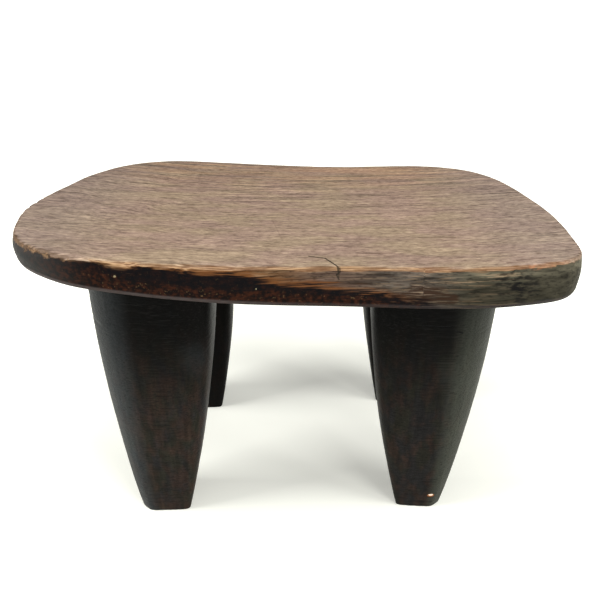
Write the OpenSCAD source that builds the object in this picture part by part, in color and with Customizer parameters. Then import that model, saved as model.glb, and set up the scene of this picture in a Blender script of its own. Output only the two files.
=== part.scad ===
// Carved wooden stool: a dished rounded-rectangular seat on four bullet-shaped legs.
// The floor is z = 0, the front is towards -Y, and the origin lies under the middle of the seat.

/* [Seat] */
// Length of the seat from end to end, along X
seat_length = 439; // [380:1:520]
// Width of the seat from front to back, along Y
seat_width = 316; // [280:1:380]
// Height of the seat's top at its middle, its lowest line but for the lean to the right
seat_height = 251.5; // [180:0.5:320]
// Thickness of the seat at its middle
seat_thickness = 31; // [28:0.5:42]
// How much thinner both ends are than the middle
end_thinning = 3; // [0:0.5:6]
// How much thicker than that the right end is, and how much thinner the left end
seat_wedge = 6; // [0:0.5:7]
// How far both ends of the top rise above the middle
dish_depth = 9.5; // [0:0.5:18]
// How much lower the right end of the top lies than the left end
end_drop = 10; // [0:0.5:16]
// Radius that wear has given the top arris
top_arris = 4; // [1:0.5:6]
// Radius of the softer lower arris
lower_arris = 5; // [2:0.5:8]
// How much larger that radius is at both ends
end_rounding = 4; // [0:0.5:5]
// How far the edge of the seat bellies out between its two arrises
edge_belly = 1.2; // [0:0.1:3]

/* [Legs] */
// How crisp the corners of the legs' section are, where 2 would make it round
leg_crispness = 8; // [4:0.5:14]
// How far out the flat across a leg's outer corner lies, as a share of half the leg's width
outer_flat = 1.06; // [1:0.01:1.3]
// The same for the small flats across its other three corners
inner_flat = 1.4; // [1:0.01:1.5]
// Worn bevel around the bottom of each foot
foot_bevel = 1; // [0.5:0.1:4]

/* [Front left leg] */
// From the left end of the seat to the middle of the foot
front_left_end = 103; // [90:0.5:130]
// From the front edge of the seat to the middle of the foot
front_left_side = 71.5; // [64:0.5:80]
// How far the top of the leg leans in from its foot
front_left_lean = 4; // [-10:0.5:10]
// Half the width of the foot
front_left_foot = 23; // [14:0.5:30]
// Half the width of the leg under the seat
front_left_root = 51; // [44:0.5:56]
// How far the leg's side bows out halfway up
front_left_bow = 5.5; // [0:0.5:10]
// How many degrees the leg's section is turned about its middle
front_left_turn = 2.5; // [-10:0.5:10]

/* [Front right leg] */
// From the right end of the seat to the middle of the foot
front_right_end = 106; // [90:0.5:130]
// From the front edge of the seat to the middle of the foot
front_right_side = 71.5; // [64:0.5:80]
// How far the top of the leg leans in from its foot
front_right_lean = 1; // [-10:0.5:10]
// Half the width of the foot
front_right_foot = 21.5; // [14:0.5:30]
// Half the width of the leg under the seat
front_right_root = 52; // [44:0.5:56]
// How far the leg's side bows out halfway up
front_right_bow = 5.5; // [0:0.5:10]
// How many degrees the leg's section is turned about its middle
front_right_turn = -6; // [-10:0.5:10]

/* [Rear left leg] */
// From the left end of the seat to the middle of the foot
rear_left_end = 116; // [90:0.5:130]
// From the back edge of the seat to the middle of the foot
rear_left_side = 76.5; // [64:0.5:80]
// How far the top of the leg leans in from its foot
rear_left_lean = -7; // [-10:0.5:10]
// Half the width of the foot
rear_left_foot = 24; // [14:0.5:30]
// Half the width of the leg under the seat
rear_left_root = 47.5; // [44:0.5:56]
// How far the leg's side bows out halfway up
rear_left_bow = 7.5; // [0:0.5:10]
// How many degrees the leg's section is turned about its middle
rear_left_turn = 3; // [-10:0.5:10]

/* [Rear right leg] */
// From the right end of the seat to the middle of the foot
rear_right_end = 103.5; // [90:0.5:130]
// From the back edge of the seat to the middle of the foot
rear_right_side = 68; // [64:0.5:80]
// How far the top of the leg leans in from its foot
rear_right_lean = -1; // [-10:0.5:10]
// Half the width of the foot
rear_right_foot = 22.5; // [14:0.5:30]
// Half the width of the leg under the seat
rear_right_root = 49.5; // [44:0.5:56]
// How far the leg's side bows out halfway up
rear_right_bow = 4; // [0:0.5:10]
// How many degrees the leg's section is turned about its middle
rear_right_turn = -3; // [-10:0.5:10]

/* [Hidden] */

half_l = seat_length / 2;
half_w = seat_width / 2;

// The hand-cut outline, anticlockwise from the right end. Each point names the end (-1 or 1)
// and the side (-1 front, 1 back) that hold it, and lies the given distance in from them.
// Where a point is held by no end or side, the distance counts from the middle of the seat.
outline_points = [
    [1, 0, 0, -44], [1, 0, -4, 20.5], [1, 1, -13, -82.5], [1, 1, -30.5, -43.5], [1, 1, -59, -18],
    [1, 1, -97.5, -6.5], [0, 1, 50.5, -7], [0, 1, -19.5, -2.5], [-1, 1, 123.5, -0.5],
    [-1, 1, 81, -10.5], [-1, 1, 49, -38.5], [-1, 1, 25, -83.5], [-1, 0, 7.5, 3.5], [-1, 0, 0, -59],
    [-1, -1, 12, 41], [-1, -1, 32, 20], [-1, -1, 68.5, 5.5], [0, -1, -59.5, 1.5], [0, -1, 40.5, 5.5],
    [1, -1, -87.5, 0.5], [1, -1, -37.5, 5], [1, -1, -13, 17], [1, -1, -4.5, 49]
];
corner_count = len(outline_points);
// Straight steps between two points of the outline
outline_steps = 4;

// Rounded steps over each arris, rings up the edge between them, and rings over each face
arris_steps = 4;
belly_rings = 3;
face_rings = 7;

// Sides of a leg's section, rings up its height and across its top
leg_sides = 48;
leg_rings = 14;
root_rings = 3;
// Bunches a leg's rings together near its foot, where its section changes fastest
ring_bunching = 1.5;

// Directions of the seat's corners, in degrees from its right end
front_left_corner = 225;
front_right_corner = 315;
rear_left_corner = 135;
rear_right_corner = 45;

wood_top = [0.62, 0.52, 0.44];
wood_leg = [0.17, 0.14, 0.13];

// Where a point of the outline lies, from the end and the side that hold it
function held(p) = [p[0] * half_l + p[2], p[1] * half_w + p[3]];
function corner(i) = held(outline_points[(i + corner_count) % corner_count]);

// A smooth curve from b to c whose slope there follows the neighbours a and d
function curve(a, b, c, d, u) =
    let (m1 = (c - a) / 2, m2 = (d - b) / 2)
    (2 * u * u * u - 3 * u * u + 1) * b + (u * u * u - 2 * u * u + u) * m1
    + (3 * u * u - 2 * u * u * u) * c + (u * u * u - u * u) * m2;

rough_outline = [
    for (i = [0 : corner_count - 1], k = [0 : outline_steps - 1])
        curve(corner(i - 1), corner(i), corner(i + 1), corner(i + 2), k / outline_steps)
];
xs = [for (p = rough_outline) p[0]];
ys = [for (p = rough_outline) p[1]];
outline_middle = [(min(xs) + max(xs)) / 2, (min(ys) + max(ys)) / 2];
outline = [for (p = rough_outline) p - outline_middle];

// Height of the dished top, the seat's thickness and the height of its underside
function top_z(x) = seat_height + dish_depth * pow(x / half_l, 2) - end_drop / 2 * x / half_l;
function thickness(x) = seat_thickness - end_thinning * pow(x / half_l, 2) + seat_wedge * x / half_l;
function under_z(x) = top_z(x) - thickness(x);

// The direction that points straight out of the edge, and the outline moved in against it
function outward(i) =
    let (n = len(outline), t = outline[(i + 1) % n] - outline[(i + n - 1) % n])
    [t[1], -t[0]] / norm(t);
function moved_in(i, inset) = outline[i] - inset * outward(i);

// The radius of the lower arris, which grows from the middle of the seat to its ends
function lower_radius(i) = lower_arris + end_rounding * pow(outline[i][0] / half_l, 4);

// Rings of the seat: at an angle round either arris, a share of the way up the edge between them,
// and a share of the way from the middle of the underside or of the top to its rim
function lower_ring(angle) = [
    for (i = [0 : len(outline) - 1])
        let (r = lower_radius(i), p = moved_in(i, edge_belly + r * (1 - sin(angle))))
        [p[0], p[1], under_z(p[0]) + r * (1 - cos(angle))]
];
function upper_ring(angle) = [
    for (i = [0 : len(outline) - 1])
        let (p = moved_in(i, edge_belly + top_arris * (1 - cos(angle))))
        [p[0], p[1], top_z(p[0]) - top_arris * (1 - sin(angle))]
];
function belly_ring(share) = [
    for (i = [0 : len(outline) - 1])
        let (p = moved_in(i, edge_belly * (1 - sin(180 * share))))
        let (low = under_z(p[0]) + lower_radius(i), high = top_z(p[0]) - top_arris)
        [p[0], p[1], low + share * (high - low)]
];
function under_ring(share) = [
    for (i = [0 : len(outline) - 1])
        let (p = moved_in(i, edge_belly + lower_radius(i)) * share)
        [p[0], p[1], under_z(p[0])]
];
function top_ring(share) = [
    for (i = [0 : len(outline) - 1])
        let (p = moved_in(i, edge_belly + top_arris) * share)
        [p[0], p[1], top_z(p[0])]
];

// A closed solid through rings of equal size, with a point at either end
module loft(rings, first, last) {
    n = len(rings[0]);
    count = len(rings);
    points = concat([for (r = rings, p = r) p], [first, last]);
    sides = [
        for (j = [0 : count - 2], i = [0 : n - 1])
            let (a = j * n + i, b = j * n + (i + 1) % n)
            each [[a, b + n, b], [a, a + n, b + n]]
    ];
    first_cap = [for (i = [0 : n - 1]) [n * count, i, (i + 1) % n]];
    last_cap = [for (i = [0 : n - 1]) [n * count + 1, (count - 1) * n + (i + 1) % n, (count - 1) * n + i]];
    polyhedron(points = points, faces = concat(first_cap, sides, last_cap), convexity = 4);
}

module seat() {
    under = [for (j = [1 : face_rings - 1]) under_ring(j / face_rings)];
    lower = [for (j = [0 : arris_steps]) lower_ring(90 * j / arris_steps)];
    belly = [for (j = [1 : belly_rings]) belly_ring(j / (belly_rings + 1))];
    upper = [for (j = [0 : arris_steps]) upper_ring(90 * j / arris_steps)];
    top = [for (j = [face_rings - 1 : -1 : 1]) top_ring(j / face_rings)];
    color(wood_top) loft(concat(under, lower, belly, upper, top), [0, 0, under_z(0)], [0, 0, top_z(0)]);
}

// A leg's section is a square with flats across its corners, and all its corners are softened.
// One term stands for each pair of sides or each flat, and the nearest of them sets the reach
// from the middle at an angle. The outer angle is that of the corner towards the seat's corner.
function corner_term(angle, flat) = pow(max(cos(angle), 0) / flat, leg_crispness);
function reach(angle, outer) =
    let (
        sides = pow(abs(cos(angle)), leg_crispness) + pow(abs(sin(angle)), leg_crispness),
        outer_corner = corner_term(angle - outer, outer_flat),
        left_corner = corner_term(angle - outer - 90, inner_flat),
        right_corner = corner_term(angle - outer + 90, inner_flat),
        inner_corner = corner_term(angle - outer - 180, inner_flat)
    )
    pow(sides + outer_corner + left_corner + right_corner + inner_corner, -1 / leg_crispness);

// Half the width of a leg at a share of its height, and the share at which its j-th ring lies
function leg_half(foot_r, root_r, bow, share) =
    foot_r + (root_r - foot_r) * share + 4 * bow * share * (1 - share);
function ring_share(foot, j) =
    let (low = foot_bevel / under_z(foot[0]))
    low + (1 - low) * pow(j / leg_rings, ring_bunching);

// A ring of a leg at a share of its height, scaled about its own middle by spread.
// The leg's middle leans from its foot, and its top ring lies on the seat's underside.
function leg_ring(foot, lean, foot_r, root_r, bow, turn, outer, share, spread) = [
    for (i = [0 : leg_sides - 1])
        let (
            angle = 360 * i / leg_sides,
            r = spread * leg_half(foot_r, root_r, bow, share),
            k = r * reach(angle, outer),
            x = foot[0] + lean * share + k * cos(angle + turn),
            y = foot[1] + k * sin(angle + turn)
        )
        [x, y, share * under_z(x)]
];

// A leg, from the middle of its foot on the floor up to the seat
module leg(foot, lean, foot_r, root_r, bow, turn, outer) {
    sole = leg_ring(foot, lean, foot_r, root_r, bow, turn, outer, 0, 1 - foot_bevel / foot_r);
    body = [
        for (j = [0 : leg_rings])
            leg_ring(foot, lean, foot_r, root_r, bow, turn, outer, ring_share(foot, j), 1)
    ];
    root = [
        for (j = [root_rings - 1 : -1 : 1])
            leg_ring(foot, lean, foot_r, root_r, bow, turn, outer, 1, j / root_rings)
    ];
    color(wood_leg) loft(
        concat([sole], body, root),
        [foot[0], foot[1], 0],
        [foot[0] + lean, foot[1], under_z(foot[0] + lean)]
    );
}

module front_left_leg() {
    leg(
        [-half_l + front_left_end, -half_w + front_left_side],
        front_left_lean, front_left_foot, front_left_root, front_left_bow,
        front_left_turn, front_left_corner
    );
}

module front_right_leg() {
    leg(
        [half_l - front_right_end, -half_w + front_right_side],
        -front_right_lean, front_right_foot, front_right_root, front_right_bow,
        front_right_turn, front_right_corner
    );
}

module rear_left_leg() {
    leg(
        [-half_l + rear_left_end, half_w - rear_left_side],
        rear_left_lean, rear_left_foot, rear_left_root, rear_left_bow,
        rear_left_turn, rear_left_corner
    );
}

module rear_right_leg() {
    leg(
        [half_l - rear_right_end, half_w - rear_right_side],
        -rear_right_lean, rear_right_foot, rear_right_root, rear_right_bow,
        rear_right_turn, rear_right_corner
    );
}

seat();
front_left_leg();
front_right_leg();
rear_left_leg();
rear_right_leg();
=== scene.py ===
# %% [markdown]
# # A stool hewn from one block
# The real stool is a single block of wood. Its maker cut away everything that was not a dished seat
# or one of four stout legs, and years of use rubbed the seat pale and left the rest dark with smoke
# and hands. The CAD model already has the right sizes and curves. This lesson gives each of its five
# members a finer surface and a wood finish, and never moves or resizes them.
#
# First the imported model is loaded.

# %% Load the frame
import math
import bpy
import numpy as np
from itertools import count
from mathutils import Matrix, Vector


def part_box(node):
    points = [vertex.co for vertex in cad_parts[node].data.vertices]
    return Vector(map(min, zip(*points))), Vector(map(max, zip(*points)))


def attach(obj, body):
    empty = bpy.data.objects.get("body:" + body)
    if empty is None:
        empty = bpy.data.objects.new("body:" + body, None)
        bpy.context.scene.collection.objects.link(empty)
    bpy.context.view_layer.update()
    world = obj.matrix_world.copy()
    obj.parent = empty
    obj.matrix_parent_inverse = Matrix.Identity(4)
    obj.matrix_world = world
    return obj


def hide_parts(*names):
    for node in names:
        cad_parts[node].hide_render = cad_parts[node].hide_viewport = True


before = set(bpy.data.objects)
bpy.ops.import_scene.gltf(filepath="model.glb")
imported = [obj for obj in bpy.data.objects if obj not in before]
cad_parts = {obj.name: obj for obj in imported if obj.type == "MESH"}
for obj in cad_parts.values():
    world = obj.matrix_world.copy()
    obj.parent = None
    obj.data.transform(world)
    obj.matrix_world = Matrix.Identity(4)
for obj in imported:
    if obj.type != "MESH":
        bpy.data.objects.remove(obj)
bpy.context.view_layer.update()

from types import SimpleNamespace

MM = 0.001

# %% [markdown]
# ## The camera
# A camera is a place, a direction and a lens. The picture is 600 pixels wide, and the stool fills
# most of it from close by, which is why its back edge looks so much shorter than its front edge. The
# focal length is given in pixels, and the sensor's width turns it into millimetres. The direction is
# three turns: look down from the horizon, look a little to the right, and tilt.

# %% Camera
PICTURE_PIXELS = 600
FOCAL_PIXELS = 697
SENSOR_WIDTH = 36
CAMERA_PLACE = Vector((-3.5, -604.4, 429.6)) * MM
LOOK_DOWN = math.radians(24.19)
LOOK_RIGHT = math.radians(0.93)
TILT = math.radians(0.06)


def new_object(name, data):
    """An object that holds a mesh, a lamp or a camera, in the scene."""
    made = bpy.data.objects.new(name, data)
    bpy.context.scene.collection.objects.link(made)
    return made


camera = new_object("camera", bpy.data.cameras.new("camera"))
bpy.context.scene.camera = camera
camera.data.sensor_width = SENSOR_WIDTH
camera.data.lens = FOCAL_PIXELS / PICTURE_PIXELS * SENSOR_WIDTH
camera.matrix_world = (
    Matrix.Translation(CAMERA_PLACE)
    @ Matrix.Rotation(-LOOK_RIGHT, 4, "Z")
    @ Matrix.Rotation(math.pi / 2 - LOOK_DOWN, 4, "X")
    @ Matrix.Rotation(TILT, 4, "Z")
)
print(f"lens {camera.data.lens:.1f} mm, {CAMERA_PLACE.length:.2f} m from the middle of the floor")

# %% [markdown]
# ## Writing a shader as a sum
# A shader is a web of nodes, and wiring dozens of them by hand hides what they work out. Here a
# Wire stands for the value on a socket, so that `1 - mask * 0.5` is written as a sum and the Math
# nodes appear by themselves. A Recipe is one node tree, and its method `node` adds any other node:
# first its settings, then the values or wires of its sockets. A finish is built up like paint: each
# coat is a colour with the share of it that covers, and a mask says where it lies.

# %% Wires and recipes
class Wire:
    """The value on a socket. Each operator adds one Math node and gives the wire that leaves it."""

    def __init__(self, recipe, socket):
        self.recipe, self.socket = recipe, socket

    def math(self, operation, *values):
        """Adds a Math node on these values, which are numbers or wires."""
        sockets = dict(enumerate(values))
        return self.recipe.node("ShaderNodeMath", {"operation": operation}, sockets)

    def __add__(self, other):
        return self.math("ADD", self, other)

    def __mul__(self, other):
        return self.math("MULTIPLY", self, other)

    __radd__, __rmul__ = __add__, __mul__

    def __sub__(self, other):
        return self.math("SUBTRACT", self, other)

    def __rsub__(self, other):
        return self.math("SUBTRACT", other, self)

    def rise(self, low, high):
        """0 below low and 1 above high, with an S-curve between. It falls where low is the greater."""
        sockets = {"Value": self, "From Min": low, "From Max": high}
        return self.recipe.node("ShaderNodeMapRange", {"interpolation_type": "SMOOTHSTEP"}, sockets)

    def past(self, starts, ends):
        """A rise between two places in mm: 0 before the start and 1 past the end."""
        return self.rise(starts * MM, ends * MM)

    def clamp(self):
        """The value held between 0 and 1."""
        return self.recipe.node("ShaderNodeClamp", {}, {"Value": self})


class Recipe:
    """A node tree that is filled one node at a time."""

    # The sockets of a Mix node for colours
    FACTOR, UNDER, OVER, MIXED = 0, 6, 7, 2

    def __init__(self, tree):
        self.tree = tree
        tree.nodes.clear()

    def node(self, kind, settings={}, sockets={}, output=0):
        """Adds a node of this kind, with its settings made first and its sockets filled after."""
        made = self.tree.nodes.new(kind)
        for name, value in settings.items():
            setattr(made, name, value)
        for name, value in sockets.items():
            if isinstance(value, Wire):
                self.tree.links.new(value.socket, made.inputs[name])
            else:
                made.inputs[name].default_value = value
        return Wire(self, made.outputs[output]) if made.outputs else None

    def noise(self, place, size, detail=2.0):
        """Cloudy values from 0 to 1, mostly near 0.5, in lumps about `size` across."""
        sockets = {"Vector": place, "Scale": 1 / size, "Detail": detail}
        return self.node("ShaderNodeTexNoise", {}, sockets)

    def mix(self, factor, under, over):
        """The colour `over` laid on the colour `under` by a factor from 0 to 1."""
        sockets = {self.FACTOR: factor, self.UNDER: under, self.OVER: over}
        return self.node("ShaderNodeMix", {"data_type": "RGBA"}, sockets, self.MIXED)

    def lay(self, mask, under, layer):
        """A coat, which is a colour and its share, laid on the colour `under` where a mask is 1."""
        over, share = layer
        return self.mix(mask * share, under, over)

    def vector(self, operation, first, second, output="Vector"):
        """One step of vector arithmetic on two vectors, or on one vector and a number for SCALE."""
        sockets = {0: first, "Scale" if operation == "SCALE" else 1: second}
        return self.node("ShaderNodeVectorMath", {"operation": operation}, sockets, output)


def new_finish(name, pieces):
    """The empty recipe of a new material, which is given to some pieces."""
    finish = bpy.data.materials.new(name)
    finish.use_nodes = True
    for piece in pieces:
        piece.data.materials.append(finish)
    return Recipe(finish.node_tree)


def colour(red, green, blue):
    """A screen colour, 0 to 255, as the linear values that a colour socket holds."""
    screen = np.array([red, green, blue]) / 255
    linear = np.where(screen < 0.04, screen / 12.92, ((screen + 0.055) / 1.055) ** 2.4)
    return (*linear.tolist(), 1.0)


def coat(red, green, blue, share):
    """A screen colour, and the share of it that covers what lies under it."""
    return colour(red, green, blue), share


print("the seat's middle brown in linear values:", np.round(colour(163, 140, 119), 3))

# %% [markdown]
# ## The studio
# The stool stands in a white tent. Large lamps on the left and on the right reach in under the seat
# and throw the soft shadows of the legs across the floor. A smaller one at the right front throws
# them back as well, and a lamp high in front lights the top. To the camera the world is plain white.
# The floor glows a little, for the camera and reflections only, and more with the distance, so that
# it is white in the open and still keeps the shadows.

# %% World, floor and lamps
FLOOR_HALF = 40.0
FLOOR_COLOUR = (0.9, 0.905, 0.82, 1)
GLOW_COLOUR = (1, 1, 0.93, 1)
GLOW_NEAR = 0.26
GLOW_FAR = 0.95
GLOW_GROWS = (0.15, 0.6)
WORLD_WHITE = (1, 1, 1, 1)
WORLD_LIGHT = 0.4
LAMPS = {
    "left lamp": {"place": (-1.5, -0.3, 0.6), "size": (0.9, 0.5), "watts": 30},
    "right lamp": {"place": (1.4, -0.6, 0.6), "size": (0.8, 0.5), "watts": 17},
    "right front lamp": {"place": (0.75, -1.25, 0.7), "size": (0.5, 0.4), "watts": 9},
    "top lamp": {"place": (-0.1, -0.6, 1.7), "size": (1.3, 1.0), "watts": 3.5},
}
LAMPS_LOOK_AT = Vector((0, 0, 0.1))


def seen_directly(recipe):
    """1 for the rays that the camera, a reflection or glass sends out, and 0 for those of the light."""
    kinds = "Camera", "Glossy", "Transmission"
    return sum(recipe.node("ShaderNodeLightPath", output=f"Is {kind} Ray") for kind in kinds).clamp()


def light_the_world():
    """A white world that the camera sees at full strength and that lights the stool with less."""
    world = bpy.data.worlds.new("white tent")
    world.use_nodes = True
    bpy.context.scene.world = world
    recipe = Recipe(world.node_tree)
    seen = seen_directly(recipe)
    strength = seen + (1 - seen) * WORLD_LIGHT
    sky = recipe.node("ShaderNodeBackground", {}, {"Color": WORLD_WHITE, "Strength": strength})
    recipe.node("ShaderNodeOutputWorld", {}, {"Surface": sky})


def lay_the_floor():
    """A wide square of white paper. Its glow rises with the distance from the stool."""
    mesh = bpy.data.meshes.new("floor")
    ways = (-1, -1), (1, -1), (1, 1), (-1, 1)
    corners = [(x * FLOOR_HALF, y * FLOOR_HALF, 0) for x, y in ways]
    mesh.from_pydata(corners, [], [(0, 1, 2, 3)])
    floor = new_object("floor", mesh)
    recipe = new_finish("white paper", [floor])
    place = recipe.node("ShaderNodeTexCoord", output="Object")
    distance = recipe.vector("DISTANCE", place, (0, 0, 0), "Value")
    glow = GLOW_NEAR + distance.rise(*GLOW_GROWS) * (GLOW_FAR - GLOW_NEAR)
    paper = recipe.node("ShaderNodeBsdfDiffuse", {}, {"Color": FLOOR_COLOUR})
    glow = glow * seen_directly(recipe)
    light = recipe.node("ShaderNodeEmission", {}, {"Color": GLOW_COLOUR, "Strength": glow})
    both = recipe.node("ShaderNodeAddShader", {}, {0: paper, 1: light})
    recipe.node("ShaderNodeOutputMaterial", {}, {"Surface": both})


def hang_lamp(name, place, size, watts):
    """A rectangular lamp of this size in metres that looks at the stool."""
    light = bpy.data.lights.new(name, "AREA")
    light.shape = "RECTANGLE"
    light.size, light.size_y = size
    light.energy = watts
    lamp = new_object(name, light)
    lamp.location = place
    lamp.rotation_euler = (LAMPS_LOOK_AT - lamp.location).to_track_quat("-Z", "Y").to_euler()


light_the_world()
lay_the_floor()
for name, lamp in LAMPS.items():
    hang_lamp(name, **lamp)
bpy.context.scene.view_settings.view_transform = "Standard"
print("a white world and floor, and", len(LAMPS), "lamps")

# %% [markdown]
# ## What the solid tells
# The finer seat has to have the CAD seat's own curves, so they are read back from its mesh. Its top
# and its underside are each a parabola along the seat, which a least-squares fit recovers. Its
# outline is the ring of corners halfway up its edge. Sorted by direction and written as a sum of
# turning circles, a Fourier series, the ring can be asked for a point and a slope anywhere.

# %% The seat's curves, read from its solid
OUTLINE_WAVES = 28
OUTLINE_POINTS = 1024
WELL_INSIDE = (0.7, 0.6)
GIRDLE = (0.45, 0.62)


def node_points(node):
    """The corners of a CAD node's mesh, one row each, in millimetres."""
    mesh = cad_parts[node].data
    flat = np.empty(len(mesh.vertices) * 3)
    mesh.vertices.foreach_get("co", flat)
    return flat.reshape(-1, 3) / MM


seat_low, seat_high = (np.array(corner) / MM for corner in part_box("seat"))
half_length, half_width = (seat_high - seat_low)[:2] / 2
solid = node_points("seat")
x, y, z = solid.T
well_inside = (abs(x) < WELL_INSIDE[0] * half_length) & (abs(y) < WELL_INSIDE[1] * half_width)
on_top = well_inside & (z > z[well_inside].mean())
on_under = well_inside & ~on_top
top_curve = np.polyfit(x[on_top], z[on_top], 2)
under_curve = np.polyfit(x[on_under], z[on_under], 2)


def top_z(x):
    """The height of the top at a distance x along the seat, which is the fitted parabola."""
    return np.polyval(top_curve, x)


def under_z(x):
    """The height of the underside there."""
    return np.polyval(under_curve, x)


share = (z - under_z(x)) / (top_z(x) - under_z(x))
halfway = (share > GIRDLE[0]) & (share < GIRDLE[1])
girdle = np.unique(solid[halfway][:, :2].round(3), axis=0) @ (1, 1j)
girdle = girdle[np.argsort(np.angle(girdle))]
walked = np.append(0, np.cumsum(abs(np.diff(girdle, append=girdle[0]))))
spaced = np.linspace(0, walked[-1], OUTLINE_POINTS, endpoint=False)
even = np.interp(spaced, walked, np.append(girdle, girdle[0]))
waves = np.fft.fftfreq(len(even), 1 / len(even))
kept = abs(waves) <= OUTLINE_WAVES
waves, sizes = waves[kept], (np.fft.fft(even) / len(even))[kept]


def outline(shares):
    """Points of the outline and the directions straight out of it, both as complex numbers x + iy.

    A point is the sum of circles that turn at whole speeds. Its slope is the same sum with each circle
    times its speed, and a quarter turn of the slope looks straight out.
    """
    turning = np.exp(2j * np.pi * np.outer(shares, waves))
    slope = turning @ (2j * np.pi * waves * sizes)
    return turning @ sizes, -1j * slope / abs(slope)


print(f"outline of {len(girdle)} corners, {walked[-1]:.0f} mm round")
print("top and underside at the middle:", round(top_z(0), 1), round(under_z(0), 1))

# %% [markdown]
# ## Unevenness
# Nothing cut with an adze is even. `lumps` gives smooth random heights at any set of points: random
# numbers sit on the corners of a grid of cubes, and each point blends its eight neighbours. Stretched
# cubes give the long ripples of the grain, and the same seed always gives the same wood. A tool only
# takes wood away, so `hollows` and `nicks` turn the heights into depths that are never below zero.
#
# `surface` turns rows of points into a closed mesh, with a pole at either end, and stores what a
# finish needs to know about each point as named attributes.

# %% Lumps and surfaces
CUBES = 32


def lumps(points, size, seed, stretch=(1, 1, 1)):
    """Smooth random heights from -1 to 1 at points in mm, with lumps `size` mm across."""
    table = np.random.default_rng(seed).uniform(-1, 1, (CUBES, CUBES, CUBES))
    cell = points / (size * np.array(stretch))
    low = np.floor(cell).astype(int)
    share = cell - low
    share = share**2 * (3 - 2 * share)
    height = np.zeros(points.shape[:-1])
    for corner in np.ndindex(2, 2, 2):
        weight = np.prod(np.where(corner, share, 1 - share), axis=-1)
        height += weight * table[tuple(np.moveaxis((low + corner) % CUBES, -1, 0))]
    return height


def hollows(points, depth, *lump):
    """Smooth hollows of 0 to twice a depth in mm: the depth times one more than the lumps."""
    return depth * (lumps(points, *lump) + 1)


def nicks(points, depth, above, *lump):
    """Nicks where the lumps stand above a level: the depth in mm times how far they stand above it."""
    return depth * np.clip(lumps(points, *lump) - above, 0, 1)


def s_curve(value, low, high):
    """0 below low and 1 above high, and the share squared times (3 - twice the share) between them."""
    share = np.clip((value - low) / (high - low), 0, 1)
    return share**2 * (3 - 2 * share)


def surface(name, rows, first, last, facts):
    """A piece from rows of points in mm, from its bottom to its top, closed by a pole at each end.

    Each row runs anticlockwise as seen from above, so the faces between two rows point outwards.
    """
    count, across = rows.shape[:2]
    index = np.arange(count * across).reshape(count, across)
    beside = np.roll(index, -1, axis=1)
    quads = np.stack([index[:-1], beside[:-1], beside[1:], index[1:]], axis=-1).reshape(-1, 4)
    poles = count * across, count * across + 1
    bottom = np.stack([np.full(across, poles[0]), beside[0], index[0]], axis=-1)
    top = np.stack([np.full(across, poles[1]), index[-1], beside[-1]], axis=-1)
    points = np.concatenate([rows.reshape(-1, 3), [first, last]]) * MM
    mesh = bpy.data.meshes.new(name)
    mesh.from_pydata(points.tolist(), [], quads.tolist() + bottom.tolist() + top.tolist())
    mesh.shade_smooth()
    for fact, values in facts.items():
        ends = [values[0].mean(), values[-1].mean()]
        stored = mesh.attributes.new(fact, "FLOAT", "POINT")
        stored.data.foreach_set("value", np.concatenate([values.ravel(), ends]).astype(np.float32))
    print(name, len(quads) * 2 + 2 * across, "triangles")
    return new_object(name, mesh)


print("random heights 5 mm apart:", lumps(np.arange(5)[:, None] * (5, 0, 0), 20, 0).round(2))

# %% [markdown]
# ## The seat
# A seat like this is adzed flat, then scraped and rubbed by use. Its edge is as thick as a thumb and
# leans a hair outwards in the middle. The lower arris is round from being carried, the upper one is
# tighter, and nibbled where grain broke away near the two front corners. Along the right half of the
# front, wear has taken the dark skin off the upper edge and left a shallow bevel of bare wood.
#
# The surface is a section carried round the outline: from the middle of the underside out to the
# lower arris, up the edge, over the upper arris and in to the middle of the top.

# %% The seat's section, carried round the outline
COLUMNS = 720
FRONT_CROWDING = 1.1
BELLY = 1.2
UPPER_RADIUS = 3.4
# How much the upper radius wavers in mm, with the size of its waves and a seed
UPPER_WAVERS = [(0.6, 28, 1), (0.3, 9, 2)]
UNDER_ROWS, LOWER_ROWS, EDGE_ROWS, UPPER_ROWS, TOP_ROWS = 22, 10, 38, 12, 54
# Powers that draw the rows of the underside and of the top together towards the arrises
UNDER_POWER, TOP_POWER = 0.8, 1.25
# Directions from the middle of the seat, in degrees from the right end, and how much of the edge
# below the top is worn bare there. Below 0, the dark skin reaches over the arris.
BARE_SHARE = {
    -180: -0.1, -150: -0.1, -125: 0, -109: 0.03, -102: 0.12, -97: 0.26, -94: 0.37, -88: 0.43,
    -81: 0.47, -73: 0.6, -69: 0.66, -65: 0.73, -60: 0.88, -55: 1.15, -35: 1.2, 0: 0.9,
    30: 0.4, 60: 0.05, 85: 0.12, 110: 0.1, 130: 0, 180: -0.1,
}
# The same directions, and the radius of the lower arris in mm
LOWER_RADIUS = {
    -180: 6, -165: 6.5, -140: 6.5, -120: 5, -60: 5, -45: 7.5, -33: 8.5, -22: 7, -12: 5, 0: 5.5,
    30: 7, 90: 5, 150: 7, 180: 6,
}


def crowded_shares(count):
    """Shares along the outline that lie closer together on the front edge than on the back.

    They are evenly spaced in the running sum of a weight: 1, plus the crowding towards the front.
    """
    even = np.linspace(0, 1, 4 * count + 1)
    points = outline(even)[0]
    weight = 1 + FRONT_CROWDING * s_curve(-points.imag, 0, 0.8 * half_width)
    gone = np.append(0, np.cumsum((weight[1:] + weight[:-1]) / 2))
    return np.interp(np.arange(count) / count, gone / gone[-1], even)


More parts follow.
